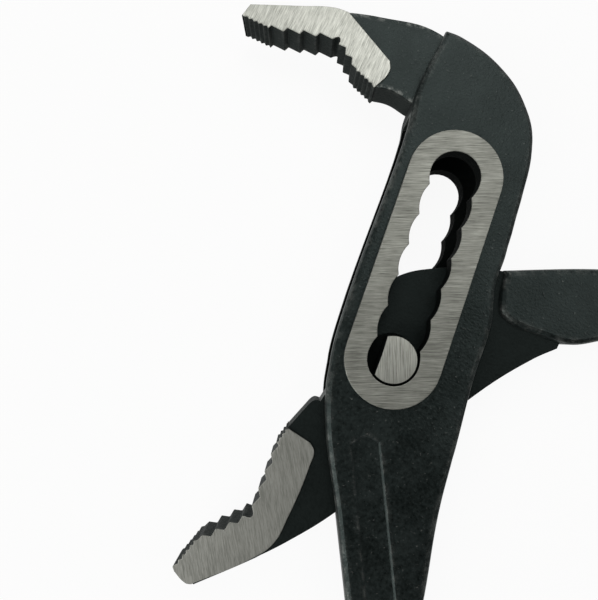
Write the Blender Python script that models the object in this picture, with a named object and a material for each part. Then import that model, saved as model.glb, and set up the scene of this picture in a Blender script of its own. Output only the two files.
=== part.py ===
"""Water pump pliers with a seven-seat box joint, laid flat and wide open, with the pin in the lowest seat.

Metres, +Z up. The origin is on the pivot axis at the underside. +Y runs along the adjusting slot towards the
upper jaw, and +X to the side where the lower arm's handle leaves the joint.
"""

import math

import bmesh
import bpy
import numpy as np
from mathutils import Matrix

MM = 0.001

# Adjusting slot and pin
SEAT_COUNT = 7
SEAT_PITCH = 7.25 * MM
SEAT_DEPTH = 0.85 * MM
PIN_RADIUS = 5.4 * MM
PIN_CLEARANCE = 0.33 * MM
PIN_FLAT = 2.9 * MM
PIN_CHAMFER = 0.25 * MM
PAD_WALL = 5.0 * MM
PAD_RISE = 0.7 * MM

# Thicknesses, all centred on the tool's middle plane
TOOL_THICKNESS = 15.0 * MM
JAW_THICKNESS = 7.6 * MM
GROUND_STEP = 0.45 * MM
CHEEK_CLEARANCE = 0.2 * MM
LOWER_HANDLE_THICKNESS = 9.2 * MM
TANG_THICKNESS = 7.6 * MM
FORGED_EDGE = 1.2 * MM

# Slotted arm, measured from the slot's axis
BOX_LEFT = 13.6 * MM
BOX_RIGHT = 16.4 * MM
HANDLE_FLARE = 3.0 * MM
TAPER_START = 14.0 * MM
PANEL_WIDTH = 6.6 * MM
PANEL_LENGTH = 37.0 * MM
PANEL_DEPTH = 0.4 * MM
PANEL_START = 19.0 * MM
PANEL_INSET = 13.8 * MM
PANEL_ANGLE = -65.0

# Jaws: a neck from the box's left wall to the teeth's heel, then rows of teeth from heel to tip
UPPER_NECK = 10.4 * MM
UPPER_HEEL_RISE = 15.75 * MM
UPPER_JAW_DEPTH = 8.95 * MM
UPPER_ROWS = ((-5.9, 2.7), (-6.7, 5.6), (-15.6, -2.8), (-7.8, 1.0))
UPPER_TEETH = (4, 3)
UPPER_LEANS = (0.8, 0.5)
LOWER_NECK = 3.2 * MM
LOWER_HEEL_DROP = 22.2 * MM
LOWER_FACE_WIDTH = 9.2 * MM
LOWER_ROWS = ((-1.4, -4.3), (-0.2, -15.8), (-9.2, -9.2), (-2.7, -7.3))
LOWER_TEETH = (4, 4)
LOWER_LEANS = (0.6, 0.5)
COARSE_TOOTH_DEPTH = 1.05 * MM
FINE_TOOTH_DEPTH = 0.5 * MM
FINE_TOOTH_PITCH = 1.25 * MM
FINE_TOOTH_LEAN = 0.5
FINE_TEETH_LEAST = 3

# Lower arm: its handle's shoulder stands clear of the box's right wall, its tongue inside the left one
SHOULDER_GAP = 3.0 * MM
TONGUE_INSET = 0.8 * MM
TONGUE_WAY = 2.4 * MM

# Handles: each tang leaves its arm at a mouth point and bends evenly to its end direction
TANG_WIDTH = 10.0 * MM
UPPER_MOUTH = (20.2 * MM, -66.0 * MM)
LOWER_MOUTH = (57.5 * MM, 35.0 * MM)
UPPER_TURN = (-75.0, -87.0)
LOWER_TURN = (22.0, 6.0)
GRIP_LENGTH = 108.0 * MM
GRIP_WIDTH = 20.0 * MM
GRIP_END_WALL = 14.0 * MM
GRIP_DOME = 11.0 * MM
GRIP_LIP = 4.0 * MM
GRIP_WAIST = 0.9
GRIP_SWELL_SPAN = 1.2
GRIP_CLEARANCE = 0.3 * MM
MOUTH_SHOULDER = 0.6 * MM
TANG_ROOT = 12.0 * MM
TANG_SQUARENESS = 6.0
GRIP_SQUARENESS = 2.6

# Facets
OUTLINE_STEPS = 8
EDGE_STEPS = 1
SEAT_STEPS = 9
PAD_STEPS = 21
PIN_STEPS = 41
HOLE_SIDES = 48
SECTION_SIDES = 24
TANG_RINGS = 14
GRIP_RINGS = 18
DOME_RINGS = 9
DOME_LAST = 86.0
WELD_DISTANCE = 0.005 * MM
FLAT_ANGLE = 0.05

MIDDLE = TOOL_THICKNESS / 2
SEAT_RADIUS = PIN_RADIUS + PIN_CLEARANCE
SLOT_LENGTH = (SEAT_COUNT - 1) * SEAT_PITCH
BODY_THICKNESS = TOOL_THICKNESS - 2 * PAD_RISE
TONGUE_THICKNESS = JAW_THICKNESS - 2 * GROUND_STEP
CAVITY_THICKNESS = JAW_THICKNESS + 2 * CHEEK_CLEARANCE

CORNER = "VECTOR"
ROUND = "AUTO"


def clear_scene():
    for old in list(bpy.data.objects):
        bpy.data.objects.remove(old, do_unlink=True)


def new_collection(name):
    collection = bpy.data.collections.new(name)
    bpy.context.scene.collection.children.link(collection)
    return collection


def finish(name, colour, roughness, metallic):
    material = bpy.data.materials.new(name)
    material.use_nodes = True
    shader = material.node_tree.nodes["Principled BSDF"]
    shader.inputs["Base Color"].default_value = (*colour, 1)
    shader.inputs["Roughness"].default_value = roughness
    shader.inputs["Metallic"].default_value = metallic
    return material


def around(anchor, *steps):
    """Outline knots at (across, up, kind) steps in millimetres from an anchor point."""
    return [(anchor[0] + across * MM, anchor[1] + up * MM, kind) for across, up, kind in steps]


def as_mesh(shape, collection):
    """Turns a curve object into a welded mesh object of the same name in the collection."""
    bpy.context.scene.collection.objects.link(shape)
    bpy.context.view_layer.update()
    graph = bpy.context.evaluated_depsgraph_get()
    mesh = bpy.data.meshes.new_from_object(shape.evaluated_get(graph))
    mesh.transform(shape.matrix_world)
    name = shape.name
    curve = shape.data
    bpy.data.objects.remove(shape, do_unlink=True)
    bpy.data.curves.remove(curve)
    shell = bmesh.new()
    shell.from_mesh(mesh)
    bmesh.ops.remove_doubles(shell, verts=shell.verts, dist=WELD_DISTANCE)
    bmesh.ops.dissolve_limit(shell, angle_limit=math.radians(FLAT_ANGLE), verts=shell.verts, edges=shell.edges)
    bmesh.ops.recalc_face_normals(shell, faces=shell.faces)
    shell.to_mesh(mesh)
    shell.free()
    made = bpy.data.objects.new(name, mesh)
    collection.objects.link(made)
    return made


def plate(name, knots, thickness, collection, edge=0.0):
    """A plate centred on the middle plane. Its outline is a closed Bezier curve through (x, y, kind) knots."""
    curve = bpy.data.curves.new(name, "CURVE")
    curve.dimensions = "2D"
    curve.fill_mode = "BOTH"
    curve.resolution_u = OUTLINE_STEPS
    curve.extrude = thickness / 2 - edge
    curve.bevel_depth = edge
    curve.bevel_resolution = EDGE_STEPS
    curve.offset = -edge
    spline = curve.splines.new("BEZIER")
    spline.bezier_points.add(len(knots) - 1)
    for point, (x, y, kind) in zip(spline.bezier_points, knots):
        point.co = (x, y, 0)
        point.handle_left_type = kind
        point.handle_right_type = kind
    spline.use_cyclic_u = True
    shape = bpy.data.objects.new(name, curve)
    shape.location.z = MIDDLE
    return as_mesh(shape, collection)


def cylinder(name, radius, height, collection):
    shell = bmesh.new()
    bmesh.ops.create_cone(
        shell, cap_ends=True, segments=HOLE_SIDES, radius1=radius, radius2=radius, depth=height,
        matrix=Matrix.Translation((0, 0, MIDDLE)),
    )
    mesh = bpy.data.meshes.new(name)
    shell.to_mesh(mesh)
    shell.free()
    made = bpy.data.objects.new(name, mesh)
    collection.objects.link(made)
    return made


def combine(target, operation, other):
    """Adds a Boolean to the target and hides the other object as a helper."""
    boolean = target.modifiers.new(other.name, "BOOLEAN")
    boolean.operation = operation
    boolean.object = other
    other.hide_render = True
    other.display_type = "WIRE"


def taper_handle(shape, mouth_thickness):
    """Thins what lies below the box joint evenly, from the full body at the start to the tang at the mouth."""
    shell = bmesh.new()
    shell.from_mesh(shape.data)
    bmesh.ops.bisect_plane(
        shell, geom=[*shell.verts, *shell.edges, *shell.faces],
        plane_co=(0, -TAPER_START, 0), plane_no=(0, 1, 0),
    )
    run = -UPPER_MOUTH[1] - TAPER_START
    loss = 1 - mouth_thickness / BODY_THICKNESS
    for vertex in shell.verts:
        share = max(0.0, -vertex.co.y - TAPER_START) / run
        vertex.co.z = MIDDLE + (vertex.co.z - MIDDLE) * (1 - loss * share)
    shell.to_mesh(shape.data)
    shell.free()


def toothed_row(start, end, count, depth, lean):
    """Saw teeth along a straight row: each has a root at its start and a crest at lean of its pitch.

    Roots lie to the left of the way from start to end, inside the jaw.
    """
    start = np.array(start)
    along = np.array(end) - start
    inward = np.array((-along[1], along[0])) / np.hypot(*along) * depth
    knots = []
    for tooth in range(count):
        root = start + along * tooth / count + inward
        crest = start + along * (tooth + lean) / count
        knots.append((*root, CORNER))
        knots.append((*crest, CORNER))
    return knots


def fine_row(start, end):
    count = max(FINE_TEETH_LEAST, round(math.dist(start, end) / FINE_TOOTH_PITCH))
    return toothed_row(start, end, count, FINE_TOOTH_DEPTH, FINE_TOOTH_LEAN)


def jaw_points(heel, rows):
    """The ends of a jaw's rows of teeth: heel, rear, hollow corner, front and tip."""
    return np.vstack((heel, np.array(heel) + np.cumsum(rows, axis=0) * MM))


def jaw_teeth(points, counts, leans):
    """Knots of a gripping side: fine teeth, a coarse row, a round hollow, a coarse row, fine teeth."""
    start, before, corner, after, end = points
    away = corner - (before + after) / 2
    hollow = corner + away / np.hypot(*away) * COARSE_TOOTH_DEPTH
    return [
        (*start, CORNER),
        *fine_row(start, before),
        *toothed_row(before, corner, counts[0], COARSE_TOOTH_DEPTH, leans[0]),
        (*hollow, ROUND),
        *toothed_row(corner, after, counts[1], COARSE_TOOTH_DEPTH, leans[1])[1:],
        *fine_row(after, end),
        (*end, CORNER),
    ]


def upper_jaw_points():
    return jaw_points((-BOX_LEFT - UPPER_NECK, SLOT_LENGTH + UPPER_HEEL_RISE), UPPER_ROWS)


def lower_jaw_points():
    return jaw_points((-BOX_LEFT - LOWER_NECK, -LOWER_HEEL_DROP), LOWER_ROWS)


def tongue_edge():
    """The tongue's lower edge near the jaw, which the cavity's left flank follows."""
    drop = lower_jaw_points()[2][1]
    return np.array(((9.4 * MM, drop * 0.473), (-0.5 * MM, drop * 0.851)))


def slot_cutter(collection):
    """The adjusting slot: shallow round seats that meet in cusps on both sides, and a half-round at each end."""
    half = SEAT_PITCH / 2
    hollow = (half**2 + SEAT_DEPTH**2) / (2 * SEAT_DEPTH)
    step = np.linspace(-half, half, SEAT_STEPS)[:-1]
    reach = SEAT_RADIUS - hollow + np.sqrt(hollow**2 - step**2)
    seats = SEAT_PITCH * np.arange(SEAT_COUNT)
    scallops = np.column_stack((np.tile(reach, SEAT_COUNT), (seats[:, None] + step).ravel()))
    between = (scallops[:, 1] >= 0) & (scallops[:, 1] <= SLOT_LENGTH)
    quarter = np.linspace(0, math.pi / 2, SEAT_STEPS)[1:]
    end = SEAT_RADIUS * np.column_stack((np.cos(quarter), np.sin(quarter)))
    side = np.vstack((end[::-1] * (1, -1), scallops[between], end + (0, SLOT_LENGTH)))
    ring = np.vstack((side, side[-2:0:-1] * (-1, 1)))
    knots = [(x, y, CORNER) for x, y in ring]
    return plate("slot_cutter", knots, TOOL_THICKNESS * 2, collection)


def pad_stadium(collection):
    """The ground pads: one stadium round the slot that stands proud of both cheeks."""
    radius = SEAT_RADIUS + PAD_WALL
    turn = np.linspace(0, math.pi, PAD_STEPS)
    top = np.column_stack((radius * np.cos(turn), SLOT_LENGTH + radius * np.sin(turn)))
    bottom = np.column_stack((-radius * np.cos(turn), -radius * np.sin(turn)))
    knots = [(x, y, CORNER) for x, y in np.vstack((top, bottom))]
    return plate("ground_pads", knots, TOOL_THICKNESS, collection)


def handle_way(mouth, turn, distance):
    """Points of an arc that leaves the mouth in direction turn[0] and reaches turn[1] at the grip's end."""
    start = math.radians(turn[0])
    bend = math.radians(turn[1] - turn[0]) / GRIP_LENGTH
    angle = start + bend * distance
    x = mouth[0] + (np.sin(angle) - math.sin(start)) / bend
    y = mouth[1] - (np.cos(angle) - math.cos(start)) / bend
    return np.column_stack((x, y))


def mouth_corners(mouth, turn):
    """The two corners where a handle ends at its grip, left then right of the way out."""
    angle = math.radians(turn[0])
    out = np.array((math.cos(angle), math.sin(angle)))
    left = np.array((-out[1], out[0])) * (TANG_WIDTH / 2 + MOUTH_SHOULDER)
    seat = np.array(mouth) - out * GRIP_CLEARANCE
    return (*(seat + left), CORNER), (*(seat - left), CORNER)


def rounded_section(name, width, height, corner):
    """A closed section curve: a superellipse, squarer as its corner power rises."""
    turn = np.linspace(0, 2 * math.pi, SECTION_SIDES, endpoint=False)
    x = width / 2 * np.sign(np.cos(turn)) * np.abs(np.cos(turn)) ** (2 / corner)
    y = height / 2 * np.sign(np.sin(turn)) * np.abs(np.sin(turn)) ** (2 / corner)
    curve = bpy.data.curves.new(name, "CURVE")
    curve.dimensions = "2D"
    spline = curve.splines.new("POLY")
    spline.points.add(SECTION_SIDES - 1)
    for point, place in zip(spline.points, zip(x, y)):
        point.co = (*place, 0, 1)
    spline.use_cyclic_u = True
    return bpy.data.objects.new(name, curve)


def swept(name, way, sizes, section, collection):
    """A bar along the way with the section, scaled at each point by its size."""
    bpy.context.scene.collection.objects.link(section)
    curve = bpy.data.curves.new(name, "CURVE")
    curve.dimensions = "3D"
    curve.twist_mode = "Z_UP"
    curve.bevel_mode = "OBJECT"
    curve.bevel_object = section
    curve.use_fill_caps = True
    spline = curve.splines.new("POLY")
    spline.points.add(len(way) - 1)
    for point, (x, y), size in zip(spline.points, way, sizes):
        point.co = (x, y, MIDDLE, 1)
        point.radius = size
    made = as_mesh(bpy.data.objects.new(name, curve), collection)
    bpy.data.objects.remove(section, do_unlink=True)
    return made


def tang(name, mouth, turn, collection, clearance=0.0):
    """The flat bar inside a grip. With a clearance it is the grip's bore."""
    last = GRIP_LENGTH - GRIP_END_WALL + clearance
    way = handle_way(mouth, turn, np.linspace(-TANG_ROOT, last, TANG_RINGS))
    width = TANG_WIDTH + 2 * clearance
    height = TANG_THICKNESS + 2 * clearance
    section = rounded_section(name + "_section", width, height, TANG_SQUARENESS)
    return swept(name, way, np.ones(len(way)), section, collection)


def grip(name, mouth, turn, parts, helpers, material):
    """A dipped sleeve: a lipped mouth, a slim waist, a fuller palm swell and a domed end."""
    dome_start = GRIP_LENGTH - GRIP_DOME
    run = np.linspace(0, dome_start, GRIP_RINGS)[:-1]
    dome_turn = np.linspace(0, math.radians(DOME_LAST), DOME_RINGS)
    distance = np.concatenate((run, dome_start + GRIP_DOME * np.sin(dome_turn)))
    way = handle_way(mouth, turn, distance)
    share = distance / GRIP_LENGTH
    swell = GRIP_WAIST + (1 - GRIP_WAIST) * np.sin(math.pi * share / GRIP_SWELL_SPAN) ** 2
    lip = (1 - GRIP_WAIST) * np.exp(-((distance / GRIP_LIP) ** 2))
    dome = np.concatenate((np.ones(len(run)), np.cos(dome_turn)))
    size = (swell + lip) * dome
    section = rounded_section(name + "_section", GRIP_WIDTH, TOOL_THICKNESS, GRIP_SQUARENESS)
    sleeve = swept(name, way, size / size.max(), section, parts)
    combine(sleeve, "DIFFERENCE", tang(name + "_bore", mouth, turn, helpers, GRIP_CLEARANCE))
    sleeve.data.materials.append(material)
    return sleeve


def slotted_arm(parts, helpers, material):
    """Upper jaw, two slotted cheeks round an open cavity, and the handle, in one forging."""
    top = SLOT_LENGTH
    left = -BOX_LEFT
    right = BOX_RIGHT
    points = upper_jaw_points()
    heel, rear, corner, _, tip = points
    head = corner[1] + UPPER_JAW_DEPTH
    body_knots = [
        *around((left, head), (1.0, 0.0, CORNER), (5.0, -0.3, ROUND)),
        *around((0, head), (3.0, -4.8, ROUND), (10.4, -11.4, ROUND)),
        *around((right, top), (-1.9, 14.0, ROUND), (-0.8, -2.0, ROUND)),
        (right, top * 0.724, ROUND),
        *around((right, top * 0.506), (-1.0, 0.0, ROUND)),
        *around((right, top * 0.345), (0.6, 0.0, ROUND)),
        *around((right, top * 0.046), (1.2, 0.0, ROUND)),
        *around((right + HANDLE_FLARE, 0), (-0.2, -14.0, ROUND), (0.9, -28.0, ROUND)),
        *around((right + HANDLE_FLARE, 0), (3.6, -45.0, ROUND)),
        *mouth_corners(UPPER_MOUTH, UPPER_TURN),
        *around(UPPER_MOUTH, (-10.6, 9.5, ROUND)),
        *around((left, 0), (13.8, -37.0, ROUND), (3.2, -15.0, ROUND), (0.7, -4.0, ROUND), (0.0, 5.0, ROUND)),
        *around((left, heel[1]), (0.0, -6.6, ROUND), (-0.8, -0.6, ROUND)),
    ]
    arm = plate("slotted_arm", body_knots, BODY_THICKNESS, parts, FORGED_EDGE)
    taper_handle(arm, TANG_THICKNESS + 2 * MOUTH_SHOULDER)

    crown = (corner[0], head - 1.4 * MM)
    face_knots = [
        *jaw_teeth(points[::-1], UPPER_TEETH, UPPER_LEANS),
        *around(heel, (2.1, 5.0, ROUND), (1.4, 7.4, CORNER)),
        *around(crown, (0.6, 0.0, CORNER), (-2.7, 0.0, ROUND), (-11.0, -2.4, ROUND)),
        *around(tip, (1.0, 3.4, CORNER)),
    ]
    root_knots = [
        *around(crown, (-1.0, -0.1, CORNER)),
        *around((left + (corner[0] - left) * 0.65, head), (0.0, 0.2, ROUND)),
        *around((left, head), (0.0, 0.9, ROUND), (6.0, -2.5, CORNER)),
        *around((left, heel[1]), (6.0, -0.4, CORNER), (0.0, -0.6, ROUND)),
        *around((left - UPPER_NECK * 0.6, heel[1]), (0.0, 0.8, ROUND)),
        *around(heel, (0.0, 0.4, CORNER)),
        *around(rear, (0.0, 3.0, CORNER)),
    ]
    inner, outer = tongue_edge()
    cavity_knots = [
        *around((left, heel[1]), (-40.0, -4.2, CORNER), (-1.0, -4.2, ROUND), (4.6, -0.6, ROUND)),
        *around((0, corner[1]), (-4.0, -3.6, ROUND), (4.0, 0.5, CORNER)),
        *around((right, corner[1]), (30.0, 10.1, CORNER)),
        *around((right, 0), (30.0, -52.0, CORNER), (4.6, -35.4, CORNER)),
        *around(inner, (4.4, -9.4, CORNER), (-1.4, -5.4, CORNER)),
        (outer[0], outer[1] - TONGUE_WAY, CORNER),
        *around((left, outer[1]), (-2.0, -22.0, CORNER), (-40.0, -22.0, CORNER)),
    ]
    along = math.radians(PANEL_ANGLE)
    across = np.array((-math.sin(along), math.cos(along))) * PANEL_WIDTH / 2
    way = np.array((math.cos(along), math.sin(along)))
    begin = np.array((left + PANEL_INSET, -PANEL_START))
    end = begin + way * PANEL_LENGTH
    panel_knots = [
        (*(begin - across), CORNER),
        (*(begin - way * PANEL_WIDTH / 4), ROUND),
        (*(begin + across), CORNER),
        (*(end + across), CORNER),
        (*(end - across), CORNER),
    ]
    panel = plate("panel_cutter", panel_knots, BODY_THICKNESS, helpers)
    panel.data.transform(Matrix.Translation((0, 0, BODY_THICKNESS - PANEL_DEPTH)))
    taper_handle(panel, TANG_THICKNESS + 2 * MOUTH_SHOULDER)

    combine(arm, "UNION", pad_stadium(helpers))
    combine(arm, "UNION", plate("upper_jaw_root", root_knots, TONGUE_THICKNESS, helpers))
    combine(arm, "UNION", plate("upper_jaw_face", face_knots, JAW_THICKNESS, helpers))
    combine(arm, "UNION", tang("slotted_arm_tang", UPPER_MOUTH, UPPER_TURN, helpers))
    combine(arm, "DIFFERENCE", plate("cavity_cutter", cavity_knots, CAVITY_THICKNESS, helpers))
    combine(arm, "DIFFERENCE", slot_cutter(helpers))
    combine(arm, "DIFFERENCE", panel)
    arm.data.materials.append(material)
    return arm


def lower_arm(parts, helpers, material):
    """Lower jaw, the tongue that crosses the box joint, and the handle, in one forging."""
    points = lower_jaw_points()
    heel, _, corner, _, tip = points
    face_back = (corner[0] + LOWER_FACE_WIDTH, corner[1])
    face_knots = [
        *jaw_teeth(points, LOWER_TEETH, LOWER_LEANS),
        *around(tip, (0.7, -0.8, CORNER), (3.8, -2.2, ROUND), (5.2, -2.0, CORNER)),
        *around(corner, (3.6, -9.3, ROUND)),
        *around(face_back, (-2.0, -4.6, ROUND), (-0.8, 2.0, ROUND), (0.0, 14.0, ROUND)),
        *around(face_back, (-0.2, 17.4, ROUND), (-1.6, 18.7, CORNER)),
    ]
    tongue_left = -BOX_LEFT + TONGUE_INSET
    inner, outer = tongue_edge()
    tongue_knots = [
        *around(heel, (0.2, 0.0, CORNER), (3.1, 6.9, CORNER), (3.9, 7.8, ROUND), (5.2, 8.0, CORNER)),
        *around((tongue_left, 0), (2.2, -9.0, ROUND), (1.4, 2.0, ROUND)),
        *around((0, 0), (-9.2, 12.0, ROUND), (-4.1, 18.7, ROUND), (2.5, 22.8, ROUND)),
        *around((0, 0), (17.0, 27.6, ROUND), (30.0, 30.0, CORNER), (37.0, 22.0, CORNER)),
        *around((0, 0), (34.0, 13.2, CORNER), (29.8, 9.5, ROUND), (19.8, -2.5, ROUND)),
        (*inner, ROUND),
        (*outer, ROUND),
        *around(corner, (10.2, -3.0, ROUND), (4.6, -8.7, ROUND)),
        *around(tip, (5.5, -2.2, CORNER), (5.0, 1.0, CORNER)),
        *around(corner, (4.6, -6.0, CORNER)),
        *around((corner[0], heel[1]), (4.6, -2.0, CORNER)),
    ]
    shoulder = BOX_RIGHT + SHOULDER_GAP
    handle_knots = [
        *around((shoulder, 0), (0.0, 28.3, CORNER), (0.3, 19.0, ROUND), (1.6, 17.6, ROUND)),
        *around((0, 0), (32.0, 16.3, ROUND), (37.0, 16.6, ROUND)),
        *around(LOWER_MOUTH, (-13.9, -15.1, ROUND)),
        *mouth_corners(LOWER_MOUTH, LOWER_TURN)[::-1],
        *around(LOWER_MOUTH, (-20.2, 0.0, ROUND)),
    ]
    arm = plate("lower_arm", tongue_knots, TONGUE_THICKNESS, parts)
    combine(arm, "UNION", plate("lower_jaw_face", face_knots, JAW_THICKNESS, helpers))
    combine(arm, "UNION", plate("lower_handle", handle_knots, LOWER_HANDLE_THICKNESS, helpers, FORGED_EDGE))
    combine(arm, "UNION", tang("lower_arm_tang", LOWER_MOUTH, LOWER_TURN, helpers))
    combine(arm, "DIFFERENCE", cylinder("pin_hole", SEAT_RADIUS, TOOL_THICKNESS, helpers))
    arm.data.materials.append(material)
    return arm


def pivot_pin(parts, material):
    """The joint pin: a round bar with one flat along the slot, flush with both ground pads."""
    half_flat = math.acos(PIN_FLAT / PIN_RADIUS)
    turn = np.linspace(-math.pi + half_flat, math.pi - half_flat, PIN_STEPS)
    knots = [(PIN_RADIUS * math.cos(angle), PIN_RADIUS * math.sin(angle), CORNER) for angle in turn]
    pin = plate("pivot_pin", knots, TOOL_THICKNESS, parts, PIN_CHAMFER)
    pin.data.materials.append(material)
    return pin


def build():
    clear_scene()
    parts = new_collection("water_pump_pliers")
    helpers = new_collection("cutters_and_joined_shapes")
    black_steel = finish("black_oxide_steel", (0.035, 0.036, 0.033), 0.5, 1.0)
    ground_steel = finish("ground_steel", (0.45, 0.45, 0.43), 0.35, 1.0)
    grip_plastic = finish("grip_plastic", (0.02, 0.02, 0.022), 0.6, 0.0)
    upper = slotted_arm(parts, helpers, black_steel)
    pin = pivot_pin(parts, ground_steel)
    lower = lower_arm(parts, helpers, black_steel)
    upper_grip = grip("slotted_arm_grip", UPPER_MOUTH, UPPER_TURN, parts, helpers, grip_plastic)
    lower_grip = grip("lower_arm_grip", LOWER_MOUTH, LOWER_TURN, parts, helpers, grip_plastic)
    pin.parent = upper
    lower.parent = pin
    upper_grip.parent = upper
    lower_grip.parent = lower


build()
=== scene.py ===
"""Looks of the water pump pliers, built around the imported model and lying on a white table.

Metres, +Z up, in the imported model's own frame: the pivot axis at the origin, +Y up the adjusting slot.
"""

import math

import bmesh
import bpy
import numpy as np
from mathutils import Matrix, Vector, geometry


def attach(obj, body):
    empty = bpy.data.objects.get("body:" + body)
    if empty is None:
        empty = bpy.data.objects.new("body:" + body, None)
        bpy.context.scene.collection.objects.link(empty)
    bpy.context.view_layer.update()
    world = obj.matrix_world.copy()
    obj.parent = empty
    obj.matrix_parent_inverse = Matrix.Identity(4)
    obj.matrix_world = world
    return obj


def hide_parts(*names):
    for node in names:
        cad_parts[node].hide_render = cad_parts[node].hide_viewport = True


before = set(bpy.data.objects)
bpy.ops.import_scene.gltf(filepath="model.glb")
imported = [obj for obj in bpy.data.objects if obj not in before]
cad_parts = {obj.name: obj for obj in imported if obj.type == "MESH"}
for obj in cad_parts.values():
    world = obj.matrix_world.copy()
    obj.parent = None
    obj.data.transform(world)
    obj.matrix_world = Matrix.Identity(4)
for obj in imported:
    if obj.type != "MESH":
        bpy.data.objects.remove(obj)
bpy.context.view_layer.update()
MM = 0.001


# Slotted arm: one drop forging of tool steel with the upper jaw, the two slotted cheeks and the handle.
# It is blackened all over in a hot oxide bath, then the pads round the slot and the jaw's two sides are ground bright.
def linear(code):
    """An sRGB hex colour as linear RGBA: c/12.92 below 0.04045, else ((c + 0.055)/1.055)^2.4."""
    srgb = np.array([int(code[i:i + 2], 16) for i in (1, 3, 5)]) / 255
    rgb = np.where(srgb < 0.04045, srgb / 12.92, ((srgb + 0.055) / 1.055) ** 2.4)
    return (*rgb.tolist(), 1.0)


def add(material, kind, settings=None, **links):
    """Adds a node; settings are its own properties, links are socket values or another node's output.

    A socket is named with _ for a blank, or by i and its number where several share a name.
    """
    tree = material.node_tree
    node = tree.nodes.new(kind)
    for name, value in (settings or {}).items():
        setattr(node, name, value)
    for name, value in links.items():
        key = name.replace("_", " ")
        socket = node.inputs[int(key[1:])] if key[1:].isdigit() else node.inputs[key]
        if isinstance(value, bpy.types.NodeSocket):
            tree.links.new(value, socket)
        else:
            socket.default_value = value
    return node


def new_finish(name):
    """An empty node material."""
    material = bpy.data.materials.new(name)
    material.use_nodes = True
    material.node_tree.nodes.clear()
    return material


def black_oxide(name, dark, light, wear, smooth, rough, mirror):
    """Hot black oxide over a forged skin: a dark, faintly green grey, satin, with a fine peel and rubbed edges.

    The mottle is noise 9 mm across, the peel noise 0.8 mm across and the dents noise 0.6 mm across. Bare steel shows
    on the tops between the dents, and at outer corners, found by how much of the solid lies within 1.3 mm, where
    patches 2.5 mm across are rubbed; wear is how bare they get. The peel takes the roughness from smooth to rough.
    """
    bare_steel = linear("#9a9c97")
    green_shine = linear("#dcf4ef")
    fleck_share = 0.43
    finish = new_finish(name)
    place = add(finish, "ShaderNodeTexCoord").outputs["Object"]
    mottle = add(finish, "ShaderNodeTexNoise", Vector=place, Scale=1 / (9 * MM), Detail=6.0, Roughness=0.65)
    peel = add(finish, "ShaderNodeTexNoise", Vector=place, Scale=1 / (0.8 * MM), Detail=4.0, Roughness=0.7)
    patches = add(finish, "ShaderNodeTexNoise", Vector=place, Scale=1 / (2.5 * MM), Detail=5.0, Roughness=0.75)
    dents = add(finish, "ShaderNodeTexNoise", Vector=place, Scale=1 / (0.6 * MM), Detail=2.0, Roughness=0.6)
    grain = add(
        finish, "ShaderNodeMix", {"data_type": "FLOAT"}, i0=0.5, i2=mottle.outputs["Fac"], i3=peel.outputs["Fac"]
    )
    tone = add(finish, "ShaderNodeMapRange", Value=grain.outputs[0], From_Min=0.4, From_Max=0.6)
    skin = add(
        finish, "ShaderNodeMix", {"data_type": "RGBA"}, i0=tone.outputs["Result"], i6=linear(dark), i7=linear(light)
    )
    inside = add(
        finish, "ShaderNodeAmbientOcclusion", {"inside": True, "only_local": True, "samples": 12}, Distance=1.3 * MM
    )
    corner = add(finish, "ShaderNodeMapRange", Value=inside.outputs["AO"], From_Min=0.985, From_Max=0.78)
    patch = add(finish, "ShaderNodeMapRange", Value=patches.outputs["Fac"], From_Min=0.46, From_Max=0.68, To_Max=wear)
    edge = add(
        finish, "ShaderNodeMath", {"operation": "MULTIPLY"}, i0=corner.outputs["Result"], i1=patch.outputs["Result"]
    )
    fleck = add(
        finish, "ShaderNodeMapRange", Value=dents.outputs["Fac"], From_Min=0.66, From_Max=0.8,
        To_Max=fleck_share * wear,
    )
    rubbed = add(finish, "ShaderNodeMath", {"operation": "MAXIMUM"}, i0=edge.outputs[0], i1=fleck.outputs["Result"])
    colour = add(
        finish, "ShaderNodeMix", {"data_type": "RGBA"}, i0=rubbed.outputs[0], i6=skin.outputs[2], i7=bare_steel
    )
    gloss = add(
        finish, "ShaderNodeMapRange", Value=peel.outputs["Fac"], From_Min=0.3, From_Max=0.7,
        To_Min=smooth, To_Max=rough,
    )
    relief = add(finish, "ShaderNodeBump", Strength=0.8, Distance=0.14 * MM, Height=dents.outputs["Fac"])
    shader = add(
        finish, "ShaderNodeBsdfPrincipled", Base_Color=colour.outputs[2], Metallic=rubbed.outputs[0],
        Roughness=gloss.outputs["Result"], Normal=relief.outputs["Normal"], Specular_IOR_Level=mirror,
        Specular_Tint=green_shine,
    )
    add(finish, "ShaderNodeOutputMaterial", Surface=shader.outputs[0])
    return finish


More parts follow.
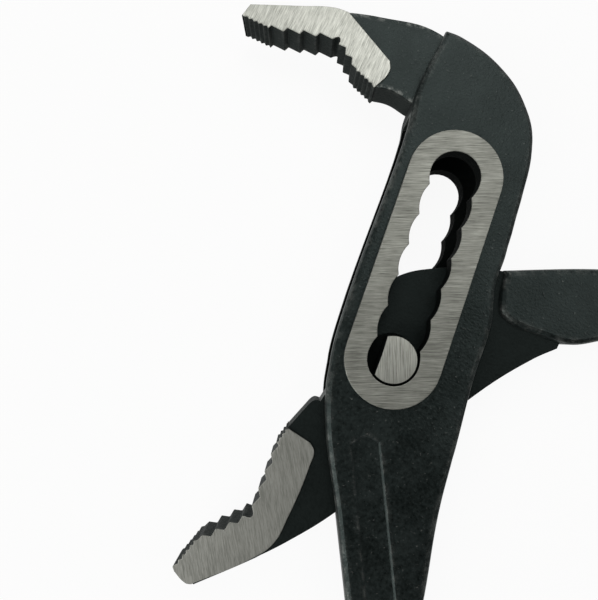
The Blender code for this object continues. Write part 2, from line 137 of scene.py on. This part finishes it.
def ground_steel(name, dark, light, turn_deg, line_mm, run_mm, roughness, scratch):
    """Steel ground on a belt: long parallel grit lines over a bright face.

    The lines are noise line_mm wide and run_mm long, turned to the grinding direction, drawn wider than the real grit
    of about 0.1 mm so that they show. Bands four times as wide lie under them, and a few lines are cut deep and dark.
    """
    deep_line = linear("#4c4d48")
    gloss_spread = 0.07
    finish = new_finish(name)
    place = add(finish, "ShaderNodeTexCoord").outputs["Object"]
    turned = add(
        finish, "ShaderNodeMapping", {"vector_type": "TEXTURE"}, Vector=place,
        Rotation=(0, 0, math.radians(turn_deg)), Scale=(run_mm * MM, line_mm * MM, line_mm * MM),
    )
    lines = add(finish, "ShaderNodeTexNoise", Vector=turned.outputs["Vector"], Scale=1.0, Detail=3.0, Roughness=0.7)
    bands = add(finish, "ShaderNodeTexNoise", Vector=turned.outputs["Vector"], Scale=0.25, Detail=2.0, Roughness=0.5)
    cloud = add(finish, "ShaderNodeTexNoise", Vector=place, Scale=1 / (7 * MM), Detail=3.0, Roughness=0.6)
    broad = add(
        finish, "ShaderNodeMix", {"data_type": "FLOAT"}, i0=0.5, i2=bands.outputs["Fac"], i3=cloud.outputs["Fac"]
    )
    mixed = add(finish, "ShaderNodeMix", {"data_type": "FLOAT"}, i0=0.35, i2=lines.outputs["Fac"], i3=broad.outputs[0])
    tone = add(finish, "ShaderNodeMapRange", Value=mixed.outputs[0], From_Min=0.36, From_Max=0.64)
    face = add(
        finish, "ShaderNodeMix", {"data_type": "RGBA"}, i0=tone.outputs["Result"], i6=linear(dark), i7=linear(light)
    )
    deep = add(finish, "ShaderNodeMapRange", Value=lines.outputs["Fac"], From_Min=0.38, From_Max=0.3, To_Max=scratch)
    colour = add(
        finish, "ShaderNodeMix", {"data_type": "RGBA"}, i0=deep.outputs["Result"], i6=face.outputs[2], i7=deep_line
    )
    gloss = add(
        finish, "ShaderNodeMapRange", Value=lines.outputs["Fac"], From_Min=0.3, From_Max=0.7,
        To_Min=roughness + gloss_spread, To_Max=roughness - gloss_spread,
    )
    relief = add(finish, "ShaderNodeBump", Strength=0.18, Distance=0.02 * MM, Height=lines.outputs["Fac"])
    shader = add(
        finish, "ShaderNodeBsdfPrincipled", Base_Color=colour.outputs[2], Metallic=1.0,
        Roughness=gloss.outputs["Result"], Normal=relief.outputs["Normal"],
    )
    add(finish, "ShaderNodeOutputMaterial", Surface=shader.outputs[0])
    return finish


def is_thin(edge, least):
    """True where a face beside the edge is narrower than least, from the edge's middle to the face's far edges."""
    middle = (edge.verts[0].co + edge.verts[1].co) / 2
    for face in edge.link_faces:
        for other in face.edges:
            if not set(other.verts) & set(edge.verts):
                start, end = (corner.co for corner in other.verts)
                share = geometry.intersect_point_line(middle, start, end)[1]
                if (start.lerp(end, min(max(share, 0), 1)) - middle).length < least:
                    return True
    return False


def finish_index(mesh, finish):
    """The mesh's slot for a finish, added where it has none."""
    if finish.name not in mesh.materials:
        mesh.materials.append(finish)
    return mesh.materials.find(finish.name)


def forging(node, name, body, pulls, cuts, planes, drafts=()):
    """A forged solid's copy with its sharp corners rounded and its curves smooth shaded, which stands for it.

    Its skin is forged black. A pull (x from, x to, y from, y to, right, up) moves the outline inside its box by
    (right, up), from nothing at the first y to all of it at the second. Walls inside a cut (x from, x to, y from, y to,
    finish) take that finish. A plane (under, over, left of, finish) gives its finish to faces that look down at the
    first height and up at the second, left of its x. A draft (centre, reach) draws in the upward face whose middle is
    nearest the centre by reach all round, so that the walls about it lean.
    """
    same_point = 0.001 * MM
    same_plane = math.radians(0.05)
    flatness = 0.03 * MM
    rounding = 0.15 * MM
    narrowest = 0.35 * MM
    sharp = math.radians(32)
    crease = math.radians(17)
    near_plane = 0.16 * MM
    shell = bmesh.new()
    shell.from_mesh(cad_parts[node].data)
    bmesh.ops.remove_doubles(shell, verts=shell.verts, dist=same_point)
    bmesh.ops.dissolve_limit(shell, angle_limit=same_plane, verts=shell.verts, edges=shell.edges)
    for left, right, start, end, along, up in pulls:
        for corner in shell.verts:
            share = (corner.co.y - start) / (end - start)
            if left < corner.co.x < right and 0 < share <= 1:
                corner.co += Vector((along, up, 0)) * share
    lips = set()
    for centre, reach in drafts:
        upward = [face for face in shell.faces if face.normal.z > 0.9]
        middle = min(upward, key=lambda face: (face.calc_center_bounds() - Vector(centre)).length)
        origin, normal = middle.verts[0].co.copy(), middle.normal.copy()
        floor = [
            face for face in upward
            if all(abs((corner.co - origin).dot(normal)) < flatness for corner in face.verts)
        ]
        floor = bmesh.ops.dissolve_faces(shell, faces=floor)["region"]
        ring = bmesh.ops.inset_region(shell, faces=floor, thickness=reach, use_even_offset=True)["faces"]
        rims = {}
        for foot in {corner for face in ring for corner in face.verts}:
            for edge in foot.link_edges:
                rim = edge.other_vert(foot)
                if rim.co.z - foot.co.z > 0.99 * edge.calc_length():
                    rims[foot] = rim
        bmesh.ops.weld_verts(shell, targetmap=rims)
        lips.update(rims.values())
    corners = [
        edge for edge in shell.edges
        if edge.calc_face_angle(0) > sharp and not is_thin(edge, narrowest) and not lips.issuperset(edge.verts)
    ]
    bmesh.ops.bevel(
        shell, geom=corners, offset=rounding, segments=2, profile=0.5, affect="EDGES", clamp_overlap=False, material=0
    )
    shell.verts.index_update()
    mesh = bpy.data.meshes.new(name)
    mesh.from_pydata(
        [corner.co for corner in shell.verts], [], [[corner.index for corner in face.verts] for face in shell.faces]
    )
    shell.free()
    normals = np.empty(len(mesh.polygons) * 3)
    middles = np.empty(len(mesh.polygons) * 3)
    mesh.polygons.foreach_get("normal", normals)
    mesh.polygons.foreach_get("center", middles)
    lean = normals[2::3]
    x, y, z = middles.reshape(-1, 3).T
    pick = np.full(len(mesh.polygons), finish_index(mesh, forged_black), dtype=np.int32)
    for left, right, near, far, finish in cuts:
        boxed = (x > left) & (x < right) & (y > near) & (y < far)
        pick[boxed & (np.abs(lean) < 0.5)] = finish_index(mesh, finish)
    for under, over, right, finish in planes:
        top = (lean > 0.3) & (np.abs(z - over) < near_plane)
        bottom = (lean < -0.3) & (np.abs(z - under) < near_plane)
        pick[(top | bottom) & (x < right)] = finish_index(mesh, finish)
    mesh.polygons.foreach_set("material_index", pick)
    mesh.shade_smooth()
    mesh.set_sharp_from_angle(angle=crease)
    piece = bpy.data.objects.new(name, mesh)
    bpy.context.scene.collection.objects.link(piece)
    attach(piece, body)
    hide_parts(node)


# The grinding belt runs over the pads at this many degrees from +X.
BRUSH_TURN = 19.6
forged_black = black_oxide(
    "black_oxide_forged_steel", "#090d0c", "#212625", wear=0.7, smooth=0.26, rough=0.5, mirror=0.32
)
milled_black = black_oxide(
    "black_oxide_milled_steel", "#0e1110", "#171b1a", wear=0.1, smooth=0.5, rough=0.66, mirror=0.24
)
# The slot's walls, the inside of the box and the pin's round side get a darker, duller black: painted shade.
broached_black_painted_shade = black_oxide(
    "black_oxide_broached_steel_painted_shade", "#080a09", "#0f1110", wear=0.0, smooth=0.6, rough=0.76, mirror=0.06
)
pad_steel = ground_steel(
    "ground_pad_steel", "#686962", "#b3b4ab", turn_deg=BRUSH_TURN, line_mm=0.15, run_mm=5.5, roughness=0.58, scratch=0.8
)
upper_jaw_steel = ground_steel(
    "ground_upper_jaw_steel", "#9c9d95", "#d4d5cc",
    turn_deg=BRUSH_TURN + 66, line_mm=0.16, run_mm=2.6, roughness=0.52, scratch=0.3,
)
forging(
    "slotted_arm", "slotted_arm_forging", "slotted_arm",
    pulls=[
        # the right side beside the slot, then under the head
        (13.8 * MM, 20 * MM, 33 * MM, 20 * MM, 1.5 * MM, 0.0),
        (13.8 * MM, 20 * MM, -16 * MM, 20 * MM, 1.5 * MM, 0.0),
        (13.8 * MM, 20 * MM, 55 * MM, 43 * MM, 0.7 * MM, 0.0),
        (13.8 * MM, 20 * MM, 31 * MM, 43 * MM, 0.7 * MM, 0.0),
        # the inner edge of the left side's chamfer
        (-12.75 * MM, -12 * MM, 54 * MM, 47 * MM, 0.7 * MM, 0.0),
        (-12.75 * MM, -12 * MM, -12 * MM, 47 * MM, 0.7 * MM, 0.0),
    ],
    cuts=[
        # the slot's walls, darkened as painted shade, then the upper jaw's root and teeth
        (-6.7 * MM, 6.7 * MM, -7 * MM, 51 * MM, broached_black_painted_shade),
        (-80 * MM, -14 * MM, 40 * MM, 90 * MM, milled_black),
    ],
    planes=[
        # the pads, the jaw's two sides, then the inside of the box that the tongue turns in, darkened as painted shade
        (0.0, 15 * MM, math.inf, pad_steel),
        (3.7 * MM, 11.3 * MM, 0.0, upper_jaw_steel),
        (11.5 * MM, 3.5 * MM, math.inf, broached_black_painted_shade),
    ],
    # the walls of the handle's panel
    drafts=[((8.0 * MM, -35.6 * MM, 12.96 * MM), 0.45 * MM)],
)


# Joint pin: a turned bar with one milled flat, pressed into the lower arm and ground flush with both pads.
# Its ends are ground in the other direction from the pads; its round side is oxide black, darkened as painted shade.
def ringed_mesh(name, rings, crease):
    """A closed surface through rings of points (row, side, xyz), with a flat cap on the first and the last ring."""
    rows, sides = rings.shape[:2]
    index = np.arange(rows * sides).reshape(rows, sides)
    after = np.roll(index, -1, axis=1)
    walls = np.stack((index[:-1], after[:-1], after[1:], index[1:]), axis=-1).reshape(-1, 4)
    caps = [index[0, ::-1].tolist(), index[-1].tolist()]
    mesh = bpy.data.meshes.new(name)
    mesh.from_pydata(rings.reshape(-1, 3).tolist(), [], walls.tolist() + caps)
    mesh.shade_smooth()
    mesh.set_sharp_from_angle(angle=crease)
    return mesh


def joint_pin(name, radius, flat, edge, height, collar, collar_radius):
    """A bar about Z: r = radius, cut back to x = -flat on one side, with a full round between the collar heights.

    Rings carry the outline up the bar, with a quarter-round edge at each end.
    """
    round_points = 96
    flat_points = 16
    edge_rings = 5
    half = math.acos(flat / radius)
    turn = np.concatenate((
        np.linspace(-math.pi + half, math.pi - half, round_points),
        np.linspace(math.pi - half, math.pi + half, flat_points)[1:-1],
    ))
    full = np.full(len(turn), collar_radius)
    to_flat = np.divide(flat, -np.cos(turn), out=np.full(len(turn), radius), where=np.cos(turn) < -1e-6)
    cut = np.minimum(radius, to_flat)
    steps = np.linspace(0, math.pi / 2, edge_rings)
    ease = edge * (1 - np.sin(steps))
    lift = edge * (1 - np.cos(steps))
    level = np.concatenate((lift, np.repeat(collar, 2), height - lift[::-1]))
    inset = np.concatenate((ease, np.zeros(4), ease[::-1]))
    outline = np.stack([cut] * (edge_rings + 1) + [full] * 2 + [cut] * (edge_rings + 1))
    reach = outline - inset[:, None]
    rings = np.stack((
        reach * np.cos(turn), reach * np.sin(turn), np.broadcast_to(level[:, None], reach.shape)
    ), axis=-1)
    return ringed_mesh(name, rings, crease=math.radians(32))


pin_steel = ground_steel(
    "ground_pin_steel", "#82837b", "#cbccc3",
    turn_deg=BRUSH_TURN + 90, line_mm=0.17, run_mm=5.0, roughness=0.56, scratch=0.6,
)
pin_mesh = joint_pin(
    "pivot_pin_bar", radius=5.4 * MM, flat=2.9 * MM, edge=0.25 * MM, height=15 * MM,
    collar=(4.2 * MM, 10.8 * MM), collar_radius=5.7 * MM,
)
# the round side takes the darker black: painted shade in the gap beside the flat
pin_mesh.materials.append(broached_black_painted_shade)
pin_mesh.materials.append(pin_steel)
end_faces = np.zeros(len(pin_mesh.polygons), dtype=np.int32)
end_faces[-2:] = 1
pin_mesh.polygons.foreach_set("material_index", end_faces)
pin = bpy.data.objects.new("pivot_pin_bar", pin_mesh)
bpy.context.scene.collection.objects.link(pin)
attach(pin, "pivot_pin")
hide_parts("pivot_pin")


# Lower arm: the second forging, whose tongue passes between the cheeks and whose jaw faces the upper one.
# It has the same black oxide skin. The tongue's flats are milled before the bath and drawn darker, as painted shade
# between the cheeks, and the two sides of the jaw are ground after it on a softer belt, so their lines are faint.
# The tongue's flats take a darker black than the rest of the skin: painted shade where they lie between the cheeks.
tongue_black_painted_shade = black_oxide(
    "black_oxide_tongue_steel_painted_shade", "#0c0f0e", "#151918", wear=0.0, smooth=0.46, rough=0.62, mirror=0.19
)
lower_jaw_steel = ground_steel(
    "ground_lower_jaw_steel", "#878881", "#adada6",
    turn_deg=BRUSH_TURN + 100, line_mm=0.2, run_mm=2.5, roughness=0.62, scratch=0.12,
)
forging(
    "lower_arm", "lower_arm_forging", "lower_arm",
    pulls=[
        # the tongue's lower edge near the handle, then the upper corner of the handle's shoulder
        (20 * MM, 34.05 * MM, -2.5 * MM, 13.25 * MM, 0.9 * MM, 1.7 * MM),
        (17.5 * MM, 27 * MM, 21 * MM, 31.5 * MM, -1.75 * MM, -0.65 * MM),
    ],
    # the lower jaw's root and teeth
    cuts=[(-80 * MM, -12 * MM, -80 * MM, 0.0, milled_black)],
    # the tongue's flats, darkened as painted shade, then the jaw's two sides
    planes=[(4.15 * MM, 10.85 * MM, math.inf, tongue_black_painted_shade), (3.7 * MM, 11.3 * MM, 0.0, lower_jaw_steel)],
)


# Grips: a soft PVC sleeve dipped over each tang, with a thicker bead at its mouth and a rounded end.
# Dipping leaves a satin skin with a slow ripple and no seam.
def dipped_sleeve(name, mouth, turn, length, width, thickness):
    """A sleeve along an arc: superellipse sections |x/a|^2.6 + |y/b|^2.6 = 1 carried from mouth to domed end.

    The section's size is a slim waist and a palm swell (sine squared), a bead (a bell curve) and a quarter-round rim of
    1.4 mm at the mouth, and a cosine dome over the last 11 mm. The arc's direction goes evenly from turn[0] to turn[1]
    degrees.
    """
    waist = 0.9
    swell_run = 1.2
    power = 2.6
    mid_height = 7.5 * MM
    dome = 11 * MM
    bead = 4 * MM
    rim = 1.4 * MM
    dome_turn = math.radians(86)
    rim_rings = 8
    run_rings = 120
    dome_rings = 20
    ring_points = 72
    start, end = np.radians(turn)
    bend = (end - start) / length
    lead = np.linspace(0, math.pi / 2, rim_rings)
    run = np.linspace(rim, length - dome, run_rings)[1:-1]
    over = np.linspace(0, dome_turn, dome_rings)
    distance = np.concatenate((rim * (1 - np.cos(lead)), run, length - dome + dome * np.sin(over)))
    angle = start + bend * distance
    path = np.stack((
        mouth[0] + (np.sin(angle) - math.sin(start)) / bend,
        mouth[1] - (np.cos(angle) - math.cos(start)) / bend,
    ), axis=-1)
    swell = waist + (1 - waist) * np.sin(math.pi * distance / length / swell_run) ** 2
    lip = (1 - waist) * np.exp(-((distance / bead) ** 2))
    close = np.concatenate((1 - rim * (1 - np.sin(lead)) / (thickness / 2), np.ones(len(run)), np.cos(over)))
    size = swell + lip
    size *= close / size.max()
    around = np.linspace(0, 2 * math.pi, ring_points, endpoint=False)
    side = width / 2 * np.sign(np.cos(around)) * np.abs(np.cos(around)) ** (2 / power)
    rise = thickness / 2 * np.sign(np.sin(around)) * np.abs(np.sin(around)) ** (2 / power)
    across = np.stack((-np.sin(angle), np.cos(angle)), axis=-1)
    rings = np.empty((len(distance), len(around), 3))
    rings[..., :2] = path[:, None] + across[:, None] * (size[:, None] * side)[..., None]
    rings[..., 2] = mid_height + size[:, None] * rise
    mesh = ringed_mesh(name, rings, crease=math.radians(50))
    shell = bmesh.new()
    shell.from_mesh(mesh)
    bmesh.ops.recalc_face_normals(shell, faces=shell.faces)
    shell.to_mesh(mesh)
    shell.free()
    return mesh


def dipped_pvc(name, dark, light):
    """Plasticised PVC: near black, satin, with a ripple 6 mm long and a fine skin 0.4 mm across."""
    finish = new_finish(name)
    place = add(finish, "ShaderNodeTexCoord").outputs["Object"]
    ripple = add(finish, "ShaderNodeTexNoise", Vector=place, Scale=1 / (6 * MM), Detail=2.0)
    skin = add(finish, "ShaderNodeTexNoise", Vector=place, Scale=1 / (0.4 * MM), Detail=3.0)
    tone = add(finish, "ShaderNodeMapRange", Value=ripple.outputs["Fac"], From_Min=0.3, From_Max=0.7)
    colour = add(
        finish, "ShaderNodeMix", {"data_type": "RGBA"}, i0=tone.outputs["Result"], i6=linear(dark), i7=linear(light)
    )
    gloss = add(
        finish, "ShaderNodeMapRange", Value=skin.outputs["Fac"], From_Min=0.3, From_Max=0.7, To_Min=0.46, To_Max=0.6
    )
    relief = add(finish, "ShaderNodeBump", Strength=0.12, Distance=0.04 * MM, Height=skin.outputs["Fac"])
    shader = add(
        finish, "ShaderNodeBsdfPrincipled", Base_Color=colour.outputs[2], Roughness=gloss.outputs["Result"],
        Normal=relief.outputs["Normal"], IOR=1.53,
    )
    add(finish, "ShaderNodeOutputMaterial", Surface=shader.outputs[0])
    return finish


grip_pvc = dipped_pvc("dipped_pvc", "#202123", "#2a2b2d")
for body, mouth, turn in (
    ("slotted_arm", (20.2 * MM, -66 * MM), (-75, -87)),
    ("lower_arm", (57.5 * MM, 35 * MM), (22, 6)),
):
    sleeve_mesh = dipped_sleeve(
        body + "_sleeve", mouth, turn, length=108 * MM, width=20 * MM, thickness=15 * MM
    )
    sleeve_mesh.materials.append(grip_pvc)
    sleeve = bpy.data.objects.new(body + "_sleeve", sleeve_mesh)
    bpy.context.scene.collection.objects.link(sleeve)
    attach(sleeve, body)
    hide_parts(body + "_grip")


# Table, light and camera: a white table under soft lamps, seen from close above as in the photograph.
# The camera is 98 mm over the upper pad, turned 19.6 degrees about the vertical and tilted 4.5 degrees.
table_mesh = bpy.data.meshes.new("table")
reach = 3.0
table_corners = [(-reach, -reach, 0), (reach, -reach, 0), (reach, reach, 0), (-reach, reach, 0)]
table_mesh.from_pydata(table_corners, [], [(0, 1, 2, 3)])
table = bpy.data.objects.new("table", table_mesh)
bpy.context.scene.collection.objects.link(table)


def shown_white(material, mirrors):
    """How much of a surface's light is plain white: most for the camera, which leaves the shadow, less in mirrors."""
    share = 0.93
    ray = add(material, "ShaderNodeLightPath").outputs
    mirrored = add(
        material, "ShaderNodeMath", {"operation": "MAXIMUM"}, i0=ray["Is Glossy Ray"], i1=ray["Is Transmission Ray"]
    )
    faint = add(material, "ShaderNodeMath", {"operation": "MULTIPLY"}, i0=mirrored.outputs[0], i1=mirrors)
    seen = add(material, "ShaderNodeMath", {"operation": "MAXIMUM"}, i0=ray["Is Camera Ray"], i1=faint.outputs[0])
    return add(material, "ShaderNodeMath", {"operation": "MULTIPLY"}, i0=seen.outputs[0], i1=share).outputs[0]


white = new_finish("white_table")
paper = add(white, "ShaderNodeBsdfDiffuse", Color=linear("#f2f2f0"))
glow = add(white, "ShaderNodeEmission", Color=linear("#ffffff"), Strength=1.0)
surface = add(white, "ShaderNodeMixShader", Fac=shown_white(white, 0.3), i1=paper.outputs[0], i2=glow.outputs[0])
add(white, "ShaderNodeOutputMaterial", Surface=surface.outputs[0])
table_mesh.materials.append(white)

PHOTO_TURN = 0.3423
PHOTO_RIGHT = np.array((math.cos(PHOTO_TURN), math.sin(PHOTO_TURN), 0.0))
PHOTO_DOWN = np.array((math.sin(PHOTO_TURN), -math.cos(PHOTO_TURN), 0.0))
UP = np.array((0.0, 0.0, 1.0))

# The room is bright near the horizon and dim overhead, and brighter on the photograph's left than on its right.
world = bpy.data.worlds.new("studio")
bpy.context.scene.world = world
world.use_nodes = True
world.node_tree.nodes.clear()
around = add(world, "ShaderNodeTexCoord").outputs["Generated"]
height = add(world, "ShaderNodeSeparateXYZ", Vector=around).outputs["Z"]
bright = add(world, "ShaderNodeMapRange", Value=height, From_Min=0.0, From_Max=0.4, To_Min=2.2, To_Max=0.06)
sideways = add(world, "ShaderNodeVectorMath", {"operation": "DOT_PRODUCT"}, i0=around, i1=PHOTO_RIGHT.tolist())
window = add(
    world, "ShaderNodeMapRange", Value=sideways.outputs["Value"], From_Min=-0.8, From_Max=0.8, To_Min=1.4, To_Max=0.35
)
room_light = add(
    world, "ShaderNodeMath", {"operation": "MULTIPLY"}, i0=bright.outputs["Result"], i1=window.outputs["Result"]
)
room = add(world, "ShaderNodeBackground", Color=linear("#b8babb"), Strength=room_light.outputs[0])
wall = add(world, "ShaderNodeBackground", Color=linear("#fbfbfb"), Strength=1.0)
backdrop = add(world, "ShaderNodeMixShader", Fac=shown_white(world, 0.06), i1=room.outputs[0], i2=wall.outputs[0])
add(world, "ShaderNodeOutputWorld", Surface=backdrop.outputs[0])


def lamp(name, right, down, up, size, power):
    """A square soft lamp placed in the photograph's directions, aimed at the joint."""
    data = bpy.data.lights.new(name, "AREA")
    data.shape = "SQUARE"
    data.size = size
    data.energy = power
    made = bpy.data.objects.new(name, data)
    place = PHOTO_RIGHT * right + PHOTO_DOWN * down + UP * up
    back = place / np.linalg.norm(place)
    side = np.cross(PHOTO_DOWN, back)
    side /= np.linalg.norm(side)
    made.matrix_world = Matrix(np.column_stack((side, np.cross(back, side), back)).tolist()).to_4x4()
    made.location = place
    bpy.context.scene.collection.objects.link(made)


lamp("soft_lamp_above_head", right=0.08, down=-0.42, up=0.52, size=0.6, power=2.1)
lamp("soft_lamp_left", right=-0.52, down=0.34, up=0.48, size=0.5, power=2.8)
lamp("soft_lamp_right", right=0.52, down=-0.06, up=0.58, size=0.45, power=0.85)

tilt_down = -0.0785
tilt_side = 0.0088
level = np.stack((PHOTO_RIGHT, PHOTO_DOWN, -UP))
about_right = np.array((
    (1, 0, 0),
    (0, math.cos(tilt_down), -math.sin(tilt_down)),
    (0, math.sin(tilt_down), math.cos(tilt_down)),
))
about_down = np.array((
    (math.cos(tilt_side), 0, math.sin(tilt_side)),
    (0, 1, 0),
    (-math.sin(tilt_side), 0, math.cos(tilt_side)),
))
right, down, forward = about_down @ about_right @ level
focal_pixels = 446.71
photo_height = 600
sensor = 36
camera_data = bpy.data.cameras.new("camera")
camera_data.lens = focal_pixels * sensor / photo_height
camera_data.sensor_width = sensor
camera_data.clip_start = 5 * MM
camera = bpy.data.objects.new("camera", camera_data)
camera.matrix_world = Matrix(np.column_stack((right, -down, -forward)).tolist()).to_4x4()
camera.location = (-20.33 * MM, -1.59 * MM, 112.99 * MM)
bpy.context.scene.collection.objects.link(camera)
bpy.context.scene.camera = camera
bpy.context.scene.view_settings.view_transform = "Standard"
